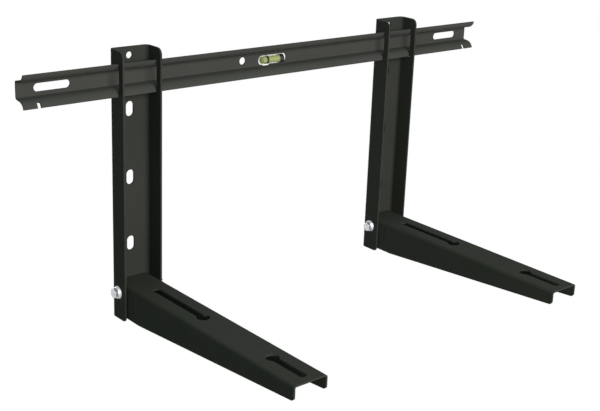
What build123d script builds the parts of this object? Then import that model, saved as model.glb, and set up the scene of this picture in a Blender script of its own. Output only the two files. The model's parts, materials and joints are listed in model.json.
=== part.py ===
"""Wall bracket for an air conditioner outdoor unit: a crossbar with a level, two uprights and two arms.

The pieces are drawn with X along the crossbar (0 at its middle), Y to the wall (0 on the wall) and
Z up (0 at the foot of the uprights). They are saved with the origin moved to the middle of the
crossbar's rear face, the centre of its two wall slots. All lengths are in millimetres.
"""
import os
from math import cos, radians, sin, sqrt

from build123d import *

# Uprights: deep U channels, web on the wall, flanges forward
UPRIGHT_HEIGHT = 370.0
UPRIGHT_WIDTH = 59.0
UPRIGHT_DEPTH = 34.0
STEEL = 2.5                     # sheet of the uprights and the arms
UPRIGHT_BEND_R = 8.0            # outside of the bend
UPRIGHT_CORNER_R = 9.0          # upper front corners of the flanges
UPRIGHT_FOOT_R = 4.5            # lower front corners
UPRIGHT_LEFT_X = -239.0
UPRIGHT_RIGHT_X = 227.0
SLOT_WIDTH = 11.5
SLOT_LENGTH = 20.5
SLOT_PITCH = 94.0
SLOT_DROP = 45.0                # middle of the crossbar to the highest slot
TOP_HOLE_D = 9.2
TOP_HOLE_DROP = 11.5            # below the top of the upright

# Crossbar: rolled hat section, web to the rear, walls that flare out into lips
BAR_LENGTH = 800.0
BAR_STEEL = 2.0
BAR_DEPTH = 21.5
BAR_HEIGHT = 43.5
BAR_WEB_HEIGHT = 23.5
BAR_WALL_ANGLE = radians(8)     # wall to the horizontal
BAR_LIP_ANGLE = radians(72)     # lip to the horizontal
BAR_BEND_R = 2.5                # web to wall, middle of the sheet
BAR_FLARE_R = 12.0              # wall to lip, middle of the sheet
BAR_DROP = 38.0                 # middle of the crossbar below the top of the uprights
BAR_END_SLOT_INSET = 48.5       # slot's middle from the end of the crossbar
BAR_END_SLOT_LENGTH = 50.0
BAR_END_SLOT_WIDTH = 10.6
BAR_HOLE_X = -57.0
BAR_HOLE_D = 10.5
BAR_NOTCH_INSET = 21.0
BAR_NOTCH_WIDTH = 4.5
BAR_NOTCH_HEIGHT = 8.5

# Fits
SLIDE_FIT = 0.3                 # rear of the crossbar to the upright's web
WINDOW_FIT = 0.6                # crossbar to the edges of the windows in the flanges
FOLD_FIT = 0.3                  # rear corners of an arm to the upright's bends
ARM_SIDE_FIT = 1.5              # side of an arm to the flange beside it
BOLT_FIT = 0.5                  # bolt shank to the punched holes, on the radius

# Arms: inverted U, tapering to the tip
ARM_TOP_Z = 51.0
ARM_TIP_Y = -385.0
ARM_ROOT_Z = 4.0
ARM_KINK_Y = -62.0
ARM_TIP_HEIGHT = 19.5
ARM_BEND_R = 4.0
ARM_CORNER_R = 5.0
KEY_SLOT_WIDTH = 10.5
KEY_EYE_D = 18.0
REAR_KEY = (-172.5, -66.0)      # eye centre, far end of the narrow part
FRONT_KEY = (-313.7, -369.1)
STOP_SLIT_Y = -46.5
STOP_SLIT_DROP = 23.0           # slit's middle below the top of the arm
STOP_SLIT_LENGTH = 28.0
STOP_SLIT_WIDTH = 1.6

# M8 flanged bolt and nut, one pair across each arm
BOLT_Y = -17.5
BOLT_DROP = 12.5                # below the top of the arm
BOLT_D = 8.0
FLANGE_D = 18.0
FLANGE_HEIGHT = 1.8
HEX_AF = 13.0
HEAD_HEIGHT = 8.0
NUT_HEIGHT = 8.0
NUT_FIT = 0.05                  # bolt shank to the nut's bore, on the radius
BOLT_END = 3.0                  # shank showing past the nut

# Level vial, lying in its opening in the crossbar
VIAL_DROP = 2.0                 # below the middle of the crossbar
VIAL_LEFT_X = -27.5
VIAL_LENGTH = 40.0
VIAL_D = 12.0
VIAL_WALL = 1.2
VIAL_BEVEL = (3.0, 2.4)         # of the tube's closed left end, along the tube and across it
VIAL_END = 3.4                  # thickness of that end
VIAL_Y = -6.2
VIAL_PLUG = 2.5
VIAL_SLOT_DROP = 2.5            # the opening's middle below that of the crossbar
VIAL_SLOT_HEIGHT = 13.4
VIAL_SLOT_LEFT_X = -29.2
VIAL_SLOT_RIGHT_X = 21.5
VIAL_EYE_D = 16.0
VIAL_EYE_DROP = 4.6
VIAL_EYE_X = -15.3
BUBBLE_X = -9.0
BUBBLE_LENGTH = 11.0
BUBBLE_D = 4.4
BUBBLE_WIDTH = 6.2              # across the tube
LIQUID_FIT = 0.05               # plug and liquid to the tube's bore

BAR_BACK_Y = -STEEL - SLIDE_FIT
BAR_FRONT_Y = BAR_BACK_Y - BAR_DEPTH
BAR_Z = UPRIGHT_HEIGHT - BAR_DROP
SLOT_MIDDLE_Z = BAR_Z - SLOT_DROP - SLOT_PITCH
ARM_WIDTH = UPRIGHT_WIDTH - 2 * (STEEL + ARM_SIDE_FIT)
BOLT_Z = ARM_TOP_Z - BOLT_DROP
VIAL_Z = BAR_Z - VIAL_DROP
NARROW = UPRIGHT_WIDTH / 2 - UPRIGHT_BEND_R    # half width of the upright's flat web
CUT = 1.0                                      # how far a cut runs past the sheet


def bar_line():
    """Corners and radii of the crossbar's section, along the middle of its sheet."""
    rear = BAR_BACK_Y - BAR_STEEL / 2
    web = (BAR_WEB_HEIGHT - BAR_STEEL) / 2
    tip = Vector(
        BAR_FRONT_Y + BAR_STEEL / 2 * sin(BAR_LIP_ANGLE),
        BAR_HEIGHT / 2 - BAR_STEEL / 2 * cos(BAR_LIP_ANGLE),
    )
    wall_way = Vector(-cos(BAR_WALL_ANGLE), sin(BAR_WALL_ANGLE))
    lip_way = Vector(-cos(BAR_LIP_ANGLE), sin(BAR_LIP_ANGLE))
    to_tip = tip - Vector(rear, web)
    wall = to_tip.cross(lip_way).Z / wall_way.cross(lip_way).Z
    corner = Vector(rear, web) + wall_way * wall
    upper = [(rear, web), (corner.X, corner.Y), (tip.X, tip.Y)]
    lower = [(y, -z) for y, z in reversed(upper)]
    return lower + upper, (BAR_FLARE_R, BAR_BEND_R, BAR_BEND_R, BAR_FLARE_R)


def make_crossbar():
    """Hat section with end slots, a fixing hole, lip notches and the opening for the vial."""
    points, radii = bar_line()
    with BuildPart() as crossbar:
        with BuildSketch(Plane.YZ.offset(-BAR_LENGTH / 2)):
            with BuildLine():
                FilletPolyline(*points, radius=radii)
            trace(line_width=BAR_STEEL)
        extrude(amount=BAR_LENGTH)

        # slots near both ends and the round fixing hole, through the web
        slot_x = BAR_LENGTH / 2 - BAR_END_SLOT_INSET
        with BuildSketch(Plane.XZ.offset(-BAR_BACK_Y)):
            with Locations((-slot_x, 0), (slot_x, 0)):
                SlotOverall(BAR_END_SLOT_LENGTH, BAR_END_SLOT_WIDTH)
            with Locations((BAR_HOLE_X, 0)):
                Circle(BAR_HOLE_D / 2)
        extrude(amount=BAR_STEEL + CUT, both=True, mode=Mode.SUBTRACT)

        # the vial's opening: a slot that bulges downward at an eye
        vial_slot = VIAL_SLOT_RIGHT_X - VIAL_SLOT_LEFT_X
        with BuildSketch(Plane.XZ.offset(-BAR_BACK_Y)):
            with Locations((VIAL_SLOT_LEFT_X + vial_slot / 2, -VIAL_SLOT_DROP)):
                SlotOverall(vial_slot, VIAL_SLOT_HEIGHT)
            with Locations((VIAL_EYE_X, -VIAL_EYE_DROP)):
                Circle(VIAL_EYE_D / 2)
        extrude(amount=BAR_STEEL + CUT, both=True, mode=Mode.SUBTRACT)

        # a narrow notch in the lower lip near each end
        notch_x = BAR_LENGTH / 2 - BAR_NOTCH_INSET
        lip = (BAR_FRONT_Y, -BAR_HEIGHT / 2)
        with Locations((-notch_x, *lip), (notch_x, *lip)):
            Box(BAR_NOTCH_WIDTH, BAR_DEPTH / 2, 2 * BAR_NOTCH_HEIGHT, mode=Mode.SUBTRACT)
    return Pos(0, 0, BAR_Z) * crossbar.part


def make_upright():
    """U channel with rounded flange corners, wall slots, bolt holes and windows for the crossbar."""
    with BuildPart() as upright:
        with BuildSketch():
            with Locations((0, -UPRIGHT_DEPTH / 2)):
                Rectangle(UPRIGHT_WIDTH, UPRIGHT_DEPTH)
            fillet(vertices().group_by(Axis.Y)[-1], UPRIGHT_BEND_R)
            with BuildSketch(mode=Mode.SUBTRACT):
                with Locations((0, -STEEL - UPRIGHT_DEPTH / 2)):
                    Rectangle(UPRIGHT_WIDTH - 2 * STEEL, UPRIGHT_DEPTH)
                fillet(vertices().group_by(Axis.Y)[-1], UPRIGHT_BEND_R - STEEL)
        extrude(amount=UPRIGHT_HEIGHT)

        # rounded front corners of both flanges
        corners = edges().filter_by(Axis.X).group_by(Axis.Y)[0]
        low_corners = corners.group_by(Axis.Z)[0]
        fillet(corners.group_by(Axis.Z)[-1], UPRIGHT_CORNER_R)
        fillet(low_corners, UPRIGHT_FOOT_R)

        # windows that let the crossbar through: its filled section, grown by the fit
        points, radii = bar_line()
        for side in (-1, 1):
            with BuildSketch(Plane((side * NARROW, 0, BAR_Z), x_dir=(0, 1, 0), z_dir=(1, 0, 0))):
                with BuildLine():
                    section = FilletPolyline(*points, radius=radii)
                    Line(section @ 1, section @ 0)
                make_face()
                offset(amount=BAR_STEEL / 2 + WINDOW_FIT)
                reach = 2 * (WINDOW_FIT - BAR_FRONT_Y)
                Rectangle(reach, BAR_HEIGHT + 2 * WINDOW_FIT, mode=Mode.INTERSECT)
                Rectangle(2 * UPRIGHT_BEND_R, BAR_WEB_HEIGHT + 2 * WINDOW_FIT)
            extrude(amount=side * (UPRIGHT_BEND_R + CUT), mode=Mode.SUBTRACT)

        # wall fixings: a round hole over three upright slots
        with BuildSketch(Plane.XZ):
            with Locations((0, UPRIGHT_HEIGHT - TOP_HOLE_DROP)):
                Circle(TOP_HOLE_D / 2)
            with Locations((0, SLOT_MIDDLE_Z)):
                with GridLocations(0, SLOT_PITCH, 1, 3):
                    SlotOverall(SLOT_LENGTH, SLOT_WIDTH, rotation=90)
        extrude(amount=STEEL + CUT, both=True, mode=Mode.SUBTRACT)

        # holes for the arm's bolt
        with BuildSketch(Plane.YZ):
            with Locations((BOLT_Y, BOLT_Z)):
                Circle(BOLT_D / 2 + BOLT_FIT)
        extrude(amount=UPRIGHT_WIDTH, both=True, mode=Mode.SUBTRACT)
    return upright.part


def make_arm():
    """Inverted U that tapers to the tip, with two keyhole slots in its top."""
    # the rear corners stop short of the inside of the upright's bends
    bend_r = UPRIGHT_BEND_R - STEEL
    root_y = -UPRIGHT_BEND_R + sqrt(bend_r**2 - (ARM_WIDTH / 2 - NARROW) ** 2) - FOLD_FIT
    with BuildPart() as arm:
        with BuildSketch(Plane.YZ):
            with BuildLine():
                Polyline(
                    (root_y, ARM_TOP_Z),
                    (ARM_TIP_Y, ARM_TOP_Z),
                    (ARM_TIP_Y, ARM_TOP_Z - ARM_TIP_HEIGHT),
                    (ARM_KINK_Y, ARM_ROOT_Z),
                    (root_y, ARM_ROOT_Z),
                    close=True,
                )
            make_face()
            low_tip = vertices().group_by(Axis.X)[0].sort_by(Axis.Y)[0]
            fillet(low_tip, ARM_CORNER_R)
        extrude(amount=ARM_WIDTH / 2, both=True)
        long_edges = edges().filter_by(Axis.Y).group_by(Axis.Z)[-1]
        fillet(long_edges, ARM_BEND_R)

        # hollow from below and through both ends
        length = root_y - ARM_TIP_Y + 2 * CUT
        with BuildSketch(Plane.XZ.offset(-root_y - CUT)) as inside:
            with Locations((0, -STEEL)):
                Rectangle(ARM_WIDTH - 2 * STEEL, 2 * ARM_TOP_Z)
            fillet(inside.vertices().group_by(Axis.Z)[-1], ARM_BEND_R - STEEL)
        extrude(amount=length, mode=Mode.SUBTRACT)

        # keyhole slots for the unit's feet
        with BuildSketch(Plane.XY.offset(ARM_TOP_Z)):
            for eye, end in (REAR_KEY, FRONT_KEY):
                with Locations((0, eye)):
                    Circle(KEY_EYE_D / 2)
                with Locations((0, (eye + end) / 2)):
                    SlotCenterToCenter(abs(eye - end), KEY_SLOT_WIDTH, rotation=90)
        extrude(amount=STEEL + CUT, both=True, mode=Mode.SUBTRACT)

        # bolt holes and the narrow upright slits, through both sides
        with BuildSketch(Plane.YZ):
            with Locations((BOLT_Y, BOLT_Z)):
                Circle(BOLT_D / 2 + BOLT_FIT)
            with Locations((STOP_SLIT_Y, ARM_TOP_Z - STOP_SLIT_DROP)):
                Rectangle(STOP_SLIT_WIDTH, STOP_SLIT_LENGTH)
        extrude(amount=ARM_WIDTH, both=True, mode=Mode.SUBTRACT)
    return arm.part


def flanged_hex(seat, way, height):
    """Outside of a flanged head or nut, from its seat outward along way, which is -1 or 1."""
    with BuildPart() as body:
        with BuildSketch(Plane.YZ.offset(seat)):
            Circle(FLANGE_D / 2)
        extrude(amount=way * FLANGE_HEIGHT)
        with BuildSketch(Plane.YZ.offset(seat)):
            RegularPolygon(HEX_AF / 2, 6, major_radius=False)
        extrude(amount=way * height)
    return body.part


def make_bolt():
    """Flanged hex bolt across the upright, its head on the left flange."""
    seat = -UPRIGHT_WIDTH / 2
    end = UPRIGHT_WIDTH / 2 + NUT_HEIGHT + BOLT_END
    with BuildPart() as bolt:
        add(flanged_hex(seat, -1, HEAD_HEIGHT))
        with BuildSketch(Plane.YZ.offset(seat)):
            Circle(BOLT_D / 2)
        extrude(amount=end - seat)
    return Pos(0, BOLT_Y, BOLT_Z) * bolt.part


def make_nut():
    """Flanged hex nut on the right flange."""
    seat = UPRIGHT_WIDTH / 2
    with BuildPart() as nut:
        add(flanged_hex(seat, 1, NUT_HEIGHT))
        with BuildSketch(Plane.YZ.offset(seat)):
            Circle(BOLT_D / 2 + NUT_FIT)
        extrude(amount=NUT_HEIGHT, mode=Mode.SUBTRACT)
    return Pos(0, BOLT_Y, BOLT_Z) * nut.part


def placed(piece, x, label):
    """A copy of a piece at its place along the crossbar."""
    with BuildPart() as copy:
        with Locations((x, 0, 0)):
            add(piece)
    copy.part.label = label
    return copy.part


def save(piece, label):
    """Writes one named piece, with the origin at the middle of the crossbar's rear face."""
    moved = Pos(0, -BAR_BACK_Y, -BAR_Z) * piece
    moved.label = label
    export_step(moved, f"parts/{label}.step")


os.makedirs("parts", exist_ok=True)

save(make_crossbar(), "crossbar")

upright_piece = make_upright()
arm_piece = make_arm()
bolt_piece = make_bolt()
nut_piece = make_nut()
for side, side_x in (("left", UPRIGHT_LEFT_X), ("right", UPRIGHT_RIGHT_X)):
    save(placed(upright_piece, side_x, f"upright_{side}"), f"upright_{side}")
    save(placed(arm_piece, side_x, f"arm_{side}"), f"arm_{side}")
    save(placed(bolt_piece, side_x, f"bolt_{side}"), f"bolt_{side}")
    save(placed(nut_piece, side_x, f"nut_{side}"), f"nut_{side}")

# The level: clear tube closed at its left end, plug, liquid with its bubble
bore_r = VIAL_D / 2 - VIAL_WALL
bore_left = VIAL_LEFT_X + VIAL_END
plug_left = VIAL_LEFT_X + VIAL_LENGTH - VIAL_PLUG

with BuildPart() as tube:
    with BuildSketch(Plane.YZ.offset(VIAL_LEFT_X)):
        Circle(VIAL_D / 2)
    extrude(amount=VIAL_LENGTH)
    left_end = faces().sort_by(Axis.X)[0]
    chamfer(left_end.edges(), VIAL_BEVEL[1], VIAL_BEVEL[0], reference=left_end)
    with BuildSketch(Plane.YZ.offset(bore_left)):
        Circle(bore_r)
    extrude(amount=VIAL_LENGTH, mode=Mode.SUBTRACT)
save(Pos(0, VIAL_Y, VIAL_Z) * tube.part, "vial_tube")

with BuildPart() as plug:
    with BuildSketch(Plane.YZ.offset(plug_left)):
        Circle(bore_r - LIQUID_FIT)
    extrude(amount=VIAL_PLUG)
save(Pos(0, VIAL_Y, VIAL_Z) * plug.part, "vial_plug")

with BuildPart() as liquid:
    with BuildSketch(Plane.YZ.offset(bore_left + LIQUID_FIT)):
        Circle(bore_r - LIQUID_FIT)
    extrude(amount=plug_left - bore_left - 2 * LIQUID_FIT)
    # the bubble lies against the top of the bore
    with BuildSketch(Plane.XZ):
        with Locations((BUBBLE_X, bore_r - BUBBLE_D / 2)):
            SlotOverall(BUBBLE_LENGTH, BUBBLE_D)
        with Locations((BUBBLE_X, bore_r)):
            Rectangle(BUBBLE_LENGTH - BUBBLE_D, BUBBLE_D)
    extrude(amount=BUBBLE_WIDTH / 2, both=True, mode=Mode.SUBTRACT)
save(Pos(0, VIAL_Y, VIAL_Z) * liquid.part, "vial_liquid")
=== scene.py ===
"""Looks of the wall bracket: coat, zinc, level, light and camera. Metres, in the frame of the CAD model."""

import json
from math import cos, pi, radians, sin

import bmesh
import bpy
from mathutils import Matrix, Vector


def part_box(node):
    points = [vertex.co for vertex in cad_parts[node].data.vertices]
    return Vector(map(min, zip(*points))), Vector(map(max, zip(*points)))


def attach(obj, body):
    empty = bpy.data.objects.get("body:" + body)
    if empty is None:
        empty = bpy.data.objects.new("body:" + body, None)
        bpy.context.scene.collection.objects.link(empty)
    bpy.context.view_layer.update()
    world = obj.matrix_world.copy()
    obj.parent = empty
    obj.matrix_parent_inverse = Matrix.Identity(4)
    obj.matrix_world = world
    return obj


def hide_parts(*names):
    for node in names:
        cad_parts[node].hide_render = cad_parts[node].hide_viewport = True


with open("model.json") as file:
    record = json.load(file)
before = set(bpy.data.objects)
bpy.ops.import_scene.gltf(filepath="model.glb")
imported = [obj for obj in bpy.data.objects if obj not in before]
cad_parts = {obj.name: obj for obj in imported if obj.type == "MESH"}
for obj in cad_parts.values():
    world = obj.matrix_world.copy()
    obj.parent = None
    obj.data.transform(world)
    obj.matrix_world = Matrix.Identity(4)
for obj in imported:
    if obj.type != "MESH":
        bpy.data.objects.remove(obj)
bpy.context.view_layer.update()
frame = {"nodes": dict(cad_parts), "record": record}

# Camera, solved from the straight edges of the photograph
IMAGE_WIDTH, IMAGE_HEIGHT = 600, 411
EYE = Vector((-1.0414, -1.2893, 0.3472))
AZIMUTH, ELEVATION, ROLL = radians(42.80), radians(18.15), radians(2.96)
FOCAL_PIXELS = 1173.65
CENTRE_X, CENTRE_Y = 345.0, 190.0
SENSOR = 36.0
CLIP_END = 50.0

# Flanged M8 bolts and nuts, as in the CAD model
ACROSS_FLATS = 0.013
HEX_CORNER_R = ACROSS_FLATS / 2 / cos(pi / 6)
HEX_HEIGHT = 0.008
FLANGE_R = 0.009
SHANK_R = 0.004
NUT_BORE_R = 0.00405

# Their finer shapes, which are made here: heights above the seat
RIM_EASE = 0.0003
RIM_TOP = 0.0009
CONE_FOOT = 0.0013
CONE_TOP = 0.0040
FLATS_FOOT = 0.0041
# corners of the hexagon that are turned off: how far below the top, and how far in
TURNED_OFF = ((0.0007, 0.0), (0.0003, 0.0006), (0.0, 0.0014))

THREAD_PITCH = 0.00125
THREAD_DEPTH = 0.00055
THREAD_LENGTH = 0.022
THREAD_ROWS = 6
TURN_STEPS = 72
MERGE_WITHIN = 1e-7
SHARP_FROM = radians(32)

# Print on the level, along X: a line with its half width, and where the painted shade begins that makes the
# tube's right end as black as the print
RING_X, RING_HALF = -0.0164, 0.0017
SHADED_END_X = 0.0052
PRINT_AND_SHADE_BLACK = (0.018, 0.019, 0.012, 1)
CLEAR_ALPHA = 0.35

# Light of the room on the object, from the side and from above
ROOM_LOW = (0.09, 0.12, 0.085)
ROOM_HIGH = (0.08, 0.19, 0.16)
ROOM_HIGH_FROM = 0.7

# Lamps, all aimed at the middle of the bracket: place, size and power
MIDDLE = Vector((0.0, -0.15, -0.15))
LAMPS = {
    "key": ((-0.36, -2.55, 0.85), 1.6, 80.0),
    "rear_fill": ((0.8, 2.5, -0.85), 1.0, 45.0),
    "side_fill": ((2.7, -0.3, -0.85), 1.0, 30.0),
}

FLOOR_REACH, FLOOR_Z = 9.0, -2.2
FLOOR_PALE = (0.5, 0.5, 0.48, 1)


def new_material(name):
    material = bpy.data.materials.new(name)
    material.use_nodes = True
    tree = material.node_tree
    return material, tree.nodes, tree.links, tree.nodes["Principled BSDF"]


def noise(nodes, links, coords, scale, detail, rough=0.5):
    node = nodes.new("ShaderNodeTexNoise")
    node.inputs["Scale"].default_value = scale
    node.inputs["Detail"].default_value = detail
    node.inputs["Roughness"].default_value = rough
    links.new(coords.outputs["Object"], node.inputs["Vector"])
    return node.outputs["Fac"]


def ramp(nodes, links, source, colour_low, colour_high, low=0.3, high=0.7):
    """One colour where the source is below low, the other above high, and a blend between."""
    node = nodes.new("ShaderNodeValToRGB")
    for element, place, colour in zip(node.color_ramp.elements, (low, high), (colour_low, colour_high)):
        element.position = place
        element.color = (*colour, 1)
    links.new(source, node.inputs["Fac"])
    return node.outputs["Color"]


def spread(nodes, links, source, low, high):
    """A source of 0 to 1, stretched to low to high."""
    node = nodes.new("ShaderNodeMapRange")
    node.inputs["To Min"].default_value = low
    node.inputs["To Max"].default_value = high
    links.new(source, node.inputs["Value"])
    return node.outputs["Result"]


def math_node(nodes, links, operation, first, second):
    node = nodes.new("ShaderNodeMath")
    node.operation = operation
    for socket, value in zip(node.inputs, (first, second)):
        if isinstance(value, float):
            socket.default_value = value
        else:
            links.new(value, socket)
    return node.outputs[0]


def colour_mix(nodes, blend="MIX"):
    node = nodes.new("ShaderNodeMix")
    node.data_type = "RGBA"
    node.blend_type = blend
    return node


def bump(nodes, links, shader, height, strength, distance, edge_r=0.0):
    """Relief on the surface, with its sharp edges softened where edge_r is given."""
    node = nodes.new("ShaderNodeBump")
    node.inputs["Strength"].default_value = strength
    node.inputs["Distance"].default_value = distance
    links.new(height, node.inputs["Height"])
    if edge_r:
        soft = nodes.new("ShaderNodeBevel")
        soft.samples = 6
        soft.inputs["Radius"].default_value = edge_r
        links.new(soft.outputs["Normal"], node.inputs["Normal"])
    links.new(node.outputs["Normal"], shader.inputs["Normal"])


def powder_coat(name, dark, light):
    """Matt black coat: fine orange peel and faint cloudiness between two tones."""
    material, nodes, links, shader = new_material(name)
    coords = nodes.new("ShaderNodeTexCoord")
    cloud = noise(nodes, links, coords, scale=9.0, detail=3.0)
    grain = noise(nodes, links, coords, scale=1400.0, detail=2.0, rough=0.6)
    speck = colour_mix(nodes, "MULTIPLY")
    speck.inputs["Factor"].default_value = 0.35
    links.new(ramp(nodes, links, cloud, dark, light, high=0.75), speck.inputs["A"])
    links.new(ramp(nodes, links, grain, (0.72, 0.72, 0.72), (1.25, 1.25, 1.25)), speck.inputs["B"])
    links.new(speck.outputs["Result"], shader.inputs["Base Color"])
    links.new(spread(nodes, links, grain, 0.6, 0.76), shader.inputs["Roughness"])
    shader.inputs["Specular IOR Level"].default_value = 0.025
    bump(nodes, links, shader, grain, strength=0.35, distance=0.0002, edge_r=0.0005)
    return material


def zinc_plate():
    """Bright zinc with faint clouding and a fine grain."""
    material, nodes, links, shader = new_material("zinc_plate")
    coords = nodes.new("ShaderNodeTexCoord")
    cloud = noise(nodes, links, coords, scale=260.0, detail=4.0)
    tone = ramp(nodes, links, cloud, (0.50, 0.52, 0.54), (0.70, 0.72, 0.74))
    links.new(tone, shader.inputs["Base Color"])
    fine = noise(nodes, links, coords, scale=2400.0, detail=2.0)
    links.new(spread(nodes, links, fine, 0.34, 0.5), shader.inputs["Roughness"])
    shader.inputs["Metallic"].default_value = 1.0
    bump(nodes, links, shader, fine, strength=0.15, distance=0.0001)
    return material


def clear_tube():
    """Clear acrylic of the level, with its printed line, and painted shade that turns its right end black
    and opaque.
    """
    material, nodes, links, shader = new_material("clear_tube")
    coords = nodes.new("ShaderNodeTexCoord")
    fine = noise(nodes, links, coords, scale=300.0, detail=2.0)
    clear = ramp(nodes, links, fine, (0.52, 0.57, 0.22), (0.62, 0.67, 0.29))
    links.new(spread(nodes, links, fine, 0.04, 0.12), shader.inputs["Roughness"])

    # black print around the tube, and painted shade that makes the right end of the tube black and opaque,
    # by the place along X
    axes = nodes.new("ShaderNodeSeparateXYZ")
    links.new(coords.outputs["Object"], axes.inputs[0])
    off = math_node(nodes, links, "SUBTRACT", axes.outputs["X"], RING_X)
    away = math_node(nodes, links, "ABSOLUTE", off, 0.0)
    line = math_node(nodes, links, "LESS_THAN", away, RING_HALF)
    # painted shade: past this place the tube is black and opaque, like the print
    end = math_node(nodes, links, "GREATER_THAN", axes.outputs["X"], SHADED_END_X)
    print_and_shade = math_node(nodes, links, "MAXIMUM", line, end)
    mix = colour_mix(nodes)
    links.new(print_and_shade, mix.inputs["Factor"])
    links.new(clear, mix.inputs["A"])
    # one black for the printed line and for the painted shade at the right end
    mix.inputs["B"].default_value = PRINT_AND_SHADE_BLACK
    links.new(mix.outputs["Result"], shader.inputs["Base Color"])
    links.new(spread(nodes, links, print_and_shade, CLEAR_ALPHA, 1.0), shader.inputs["Alpha"])
    return material


def vial_fluid():
    """Yellow-green liquid of the level."""
    material, nodes, links, shader = new_material("vial_fluid")
    coords = nodes.new("ShaderNodeTexCoord")
    cloud = noise(nodes, links, coords, scale=120.0, detail=2.0)
    tone = ramp(nodes, links, cloud, (0.24, 0.28, 0.05), (0.32, 0.36, 0.09))
    links.new(tone, shader.inputs["Base Color"])
    links.new(spread(nodes, links, cloud, 0.08, 0.16), shader.inputs["Roughness"])
    shader.inputs["IOR"].default_value = 1.33
    return material


def plug_black():
    """Dark matt plug at the right end of the tube."""
    material, nodes, links, shader = new_material("plug_black")
    coords = nodes.new("ShaderNodeTexCoord")
    fine = noise(nodes, links, coords, scale=900.0, detail=2.0)
    tone = ramp(nodes, links, fine, (0.012, 0.012, 0.010), (0.022, 0.022, 0.018))
    links.new(tone, shader.inputs["Base Color"])
    links.new(spread(nodes, links, fine, 0.5, 0.7), shader.inputs["Roughness"])
    return material


def dress(looks, rail_coat_and_painted_light):
    """Gives each CAD node the look of its slot, and the crossbar a lighter copy of the coat, which is
    partly painted light.
    """
    for part in frame["record"]["subparts"]:
        # the crossbar gets the lighter copy of the coat, which is partly painted light
        look = rail_coat_and_painted_light if part["node"] == "crossbar" else looks[part["material_slot"]]
        for place in frame["nodes"][part["node"]].material_slots:
            place.material = look


def hex_reach(angle):
    """Radius of the hexagon at an angle."""
    sector = (angle + pi / 6) % (pi / 3) - pi / 6
    return ACROSS_FLATS / 2 / cos(sector)


def round_at(radius):
    return lambda angle: radius


def hex_within(radius):
    """The hexagon, cut off where it reaches past a radius."""
    return lambda angle: min(radius, hex_reach(angle))


def finished_mesh(name, points, faces):
    """A smooth mesh with sharp edges kept, doubles merged and open ends closed."""
    mesh = bpy.data.meshes.new(name)
    body = bmesh.new()
    corners = [body.verts.new(point) for point in points]
    for face in faces:
        body.faces.new([corners[i] for i in face])
    bmesh.ops.remove_doubles(body, verts=body.verts, dist=MERGE_WITHIN)
    bmesh.ops.dissolve_degenerate(body, edges=body.edges, dist=MERGE_WITHIN)
    bmesh.ops.holes_fill(body, edges=body.edges, sides=0)
    bmesh.ops.recalc_face_normals(body, faces=body.faces)
    for face in body.faces:
        face.smooth = True
    body.to_mesh(mesh)
    body.free()
    mesh.set_sharp_from_angle(angle=SHARP_FROM)
    return mesh


def lathe(name, rings, loop=False):
    """Rings of (place along X, radius as a function of the angle), joined around the X axis."""
    points, faces = [], []
    for x, radius in rings:
        for i in range(TURN_STEPS):
            angle = 2 * pi * i / TURN_STEPS
            points.append((x, radius(angle) * cos(angle), radius(angle) * sin(angle)))
    for k in range(len(rings) if loop else len(rings) - 1):
        here, there = k * TURN_STEPS, (k + 1) % len(rings) * TURN_STEPS
        for i in range(TURN_STEPS):
            j = (i + 1) % TURN_STEPS
            faces.append((here + i, here + j, there + j, there + i))
    return finished_mesh(name, points, faces)


def hex_rings(seat, way):
    """Rings of a flanged hexagon from its seat outward: rim, cone, flats and turned-off corners."""
    rings = [
        (0.0, round_at(FLANGE_R - RIM_EASE)),
        (RIM_EASE, round_at(FLANGE_R)),
        (RIM_TOP, round_at(FLANGE_R)),
        (CONE_FOOT, round_at(FLANGE_R - RIM_EASE)),
        (CONE_TOP, round_at(HEX_CORNER_R)),
        (FLATS_FOOT, hex_within(HEX_CORNER_R)),
    ]
    rings += [(HEX_HEIGHT - below, hex_within(HEX_CORNER_R - inward)) for below, inward in TURNED_OFF]
    return [(seat + way * step, radius) for step, radius in rings]


def thread_mesh(name, start, end):
    """A right-hand thread between two places along X, with both ends turned down to its root."""
    rows = (int((end - start) / THREAD_PITCH) + 3) * THREAD_ROWS
    root = SHANK_R - THREAD_DEPTH
    points, faces = [], []
    for k in range(rows):
        depth = THREAD_DEPTH * abs(2 * (k % THREAD_ROWS) / THREAD_ROWS - 1)
        for i in range(TURN_STEPS):
            x = start + THREAD_PITCH * (k / THREAD_ROWS + i / TURN_STEPS - 1)
            x = min(max(x, start), end)
            radius = min(SHANK_R - depth, root + x - start, root + end - x)
            angle = 2 * pi * i / TURN_STEPS
            points.append((x, radius * cos(angle), radius * sin(angle)))
    for k in range(rows - THREAD_ROWS - 1):
        for i in range(TURN_STEPS):
            here = k * TURN_STEPS + i
            # the last point of a row goes on to the first one a pitch further
            there = here + 1 if i + 1 < TURN_STEPS else (k + THREAD_ROWS) * TURN_STEPS
            faces.append((here, there, there + TURN_STEPS, here + TURN_STEPS))
    return finished_mesh(name, points, faces)


def fit_piece(name, mesh, axis, body, node=None):
    """Puts a fastener's mesh on its axis, in place of its CAD node where one is named."""
    mesh.transform(Matrix.Translation((0.0, axis.y, axis.z)))
    piece = bpy.data.objects.new(name, mesh)
    bpy.context.collection.objects.link(piece)
    mesh.materials.append(LOOKS["zinc"])
    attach(piece, body)
    if node:
        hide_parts(node)


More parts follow.
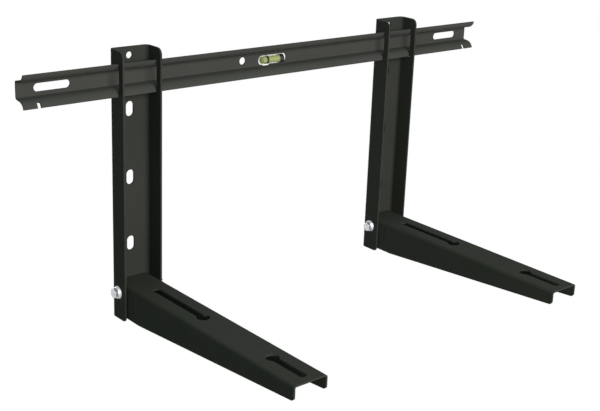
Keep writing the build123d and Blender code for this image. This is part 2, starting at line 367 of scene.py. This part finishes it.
def add_fasteners(side):
    """Bolt, its thread and its nut on one side, from the places of the CAD nodes."""
    low, high = (Vector(corner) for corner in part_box(f"bolt_{side}"))
    nut_low, nut_high = (Vector(corner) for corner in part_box(f"nut_{side}"))
    axis = (low + high) / 2
    body = f"{side}_side"
    seat = low.x + HEX_HEIGHT
    thread_start = high.x - THREAD_LENGTH

    head = [(x, radius) for x, radius in reversed(hex_rings(seat, -1))]
    shank = [(x, round_at(SHANK_R)) for x in (seat, thread_start + THREAD_PITCH)]
    fit_piece(f"bolt_{side}_head", lathe("bolt", head + shank), axis, body, f"bolt_{side}")
    fit_piece(f"bolt_{side}_thread", thread_mesh("thread", thread_start, high.x), axis, body)
    bore = [(x, round_at(NUT_BORE_R)) for x in (nut_high.x, nut_low.x)]
    nut = lathe("nut", hex_rings(nut_low.x, 1) + bore, loop=True)
    fit_piece(f"nut_{side}_hex", nut, axis, body, f"nut_{side}")


def background_rays(nodes, links):
    """1 for the rays that show the background: from the camera, mirrored or through glass."""
    path = nodes.new("ShaderNodeLightPath")
    seen = path.outputs["Is Camera Ray"]
    for extra in ("Is Glossy Ray", "Is Transmission Ray"):
        seen = math_node(nodes, links, "MAXIMUM", seen, path.outputs[extra])
    return seen


def white_room():
    """A white world for the camera and for reflections; for the rest soft light, cooler from above."""
    world = bpy.data.worlds.new("room")
    bpy.context.scene.world = world
    world.use_nodes = True
    nodes, links = world.node_tree.nodes, world.node_tree.links
    coords = nodes.new("ShaderNodeTexCoord")
    axes = nodes.new("ShaderNodeSeparateXYZ")
    links.new(coords.outputs["Generated"], axes.inputs[0])
    light = ramp(nodes, links, axes.outputs["Z"], ROOM_LOW, ROOM_HIGH, low=0.0, high=ROOM_HIGH_FROM)
    mix = colour_mix(nodes)
    links.new(background_rays(nodes, links), mix.inputs["Factor"])
    links.new(light, mix.inputs["A"])
    mix.inputs["B"].default_value = (1, 1, 1, 1)
    links.new(mix.outputs["Result"], nodes["Background"].inputs["Color"])


def add_floor():
    """A plain pale floor well below the bracket, as under a wall."""
    mesh = bpy.data.meshes.new("floor")
    corners = [(x * FLOOR_REACH, y * FLOOR_REACH, FLOOR_Z) for x, y in ((-1, -1), (1, -1), (1, 1), (-1, 1))]
    mesh.from_pydata(corners, [], [(0, 1, 2, 3)])
    floor = bpy.data.objects.new("floor", mesh)
    bpy.context.collection.objects.link(floor)
    material, nodes, links, shader = new_material("floor_white")
    shader.inputs["Base Color"].default_value = FLOOR_PALE
    shader.inputs["Roughness"].default_value = 0.9
    glow = nodes.new("ShaderNodeEmission")
    mix = nodes.new("ShaderNodeMixShader")
    links.new(background_rays(nodes, links), mix.inputs["Fac"])
    links.new(shader.outputs["BSDF"], mix.inputs[1])
    links.new(glow.outputs["Emission"], mix.inputs[2])
    links.new(mix.outputs["Shader"], nodes["Material Output"].inputs["Surface"])
    mesh.materials.append(material)


def add_lamp(name, place, size, power):
    """A soft round lamp that is aimed at the middle of the bracket."""
    data = bpy.data.lights.new(name, "AREA")
    data.shape = "DISK"
    data.size = size
    data.energy = power
    lamp = bpy.data.objects.new(name, data)
    lamp.location = place
    lamp.rotation_euler = (MIDDLE - Vector(place)).to_track_quat("-Z", "Y").to_euler()
    bpy.context.collection.objects.link(lamp)


def add_camera():
    """The photograph's camera: its place, its turn, and the framing as a small shift."""
    forward = Vector((sin(AZIMUTH) * cos(ELEVATION), cos(AZIMUTH) * cos(ELEVATION), -sin(ELEVATION)))
    level = Vector((cos(AZIMUTH), -sin(AZIMUTH), 0))
    upward = level.cross(forward)
    right = level * cos(ROLL) + upward * sin(ROLL)
    top = upward * cos(ROLL) - level * sin(ROLL)
    data = bpy.data.cameras.new("camera")
    data.sensor_fit = "HORIZONTAL"
    data.sensor_width = SENSOR
    data.lens = FOCAL_PIXELS * SENSOR / IMAGE_WIDTH
    data.shift_x = (IMAGE_WIDTH / 2 - CENTRE_X) / IMAGE_WIDTH
    data.shift_y = (CENTRE_Y - IMAGE_HEIGHT / 2) / IMAGE_WIDTH
    data.clip_end = CLIP_END
    camera = bpy.data.objects.new("camera", data)
    turn = Matrix((right, top, -forward)).transposed().to_4x4()
    camera.matrix_world = Matrix.Translation(EYE) @ turn
    bpy.context.collection.objects.link(camera)
    bpy.context.scene.camera = camera


LOOKS = {
    "black_coat": powder_coat("powder_coat", (0.039, 0.0405, 0.0335), (0.0465, 0.0465, 0.041)),
    "zinc": zinc_plate(),
    "vial_clear": clear_tube(),
    "vial_fluid": vial_fluid(),
    "ring_black": plug_black(),
}
# the crossbar's coat is slightly lighter and warmer: partly a coat of its own, partly painted light for the
# light its open web and soft flare catch
dress(LOOKS, powder_coat("powder_coat_rail_painted_light", (0.057, 0.0575, 0.052), (0.067, 0.0655, 0.0595)))
for side in ("left", "right"):
    add_fasteners(side)
white_room()
add_floor()
for lamp_name, settings in LAMPS.items():
    add_lamp(lamp_name, *settings)
add_camera()

bpy.context.scene.view_settings.view_transform = "Standard"
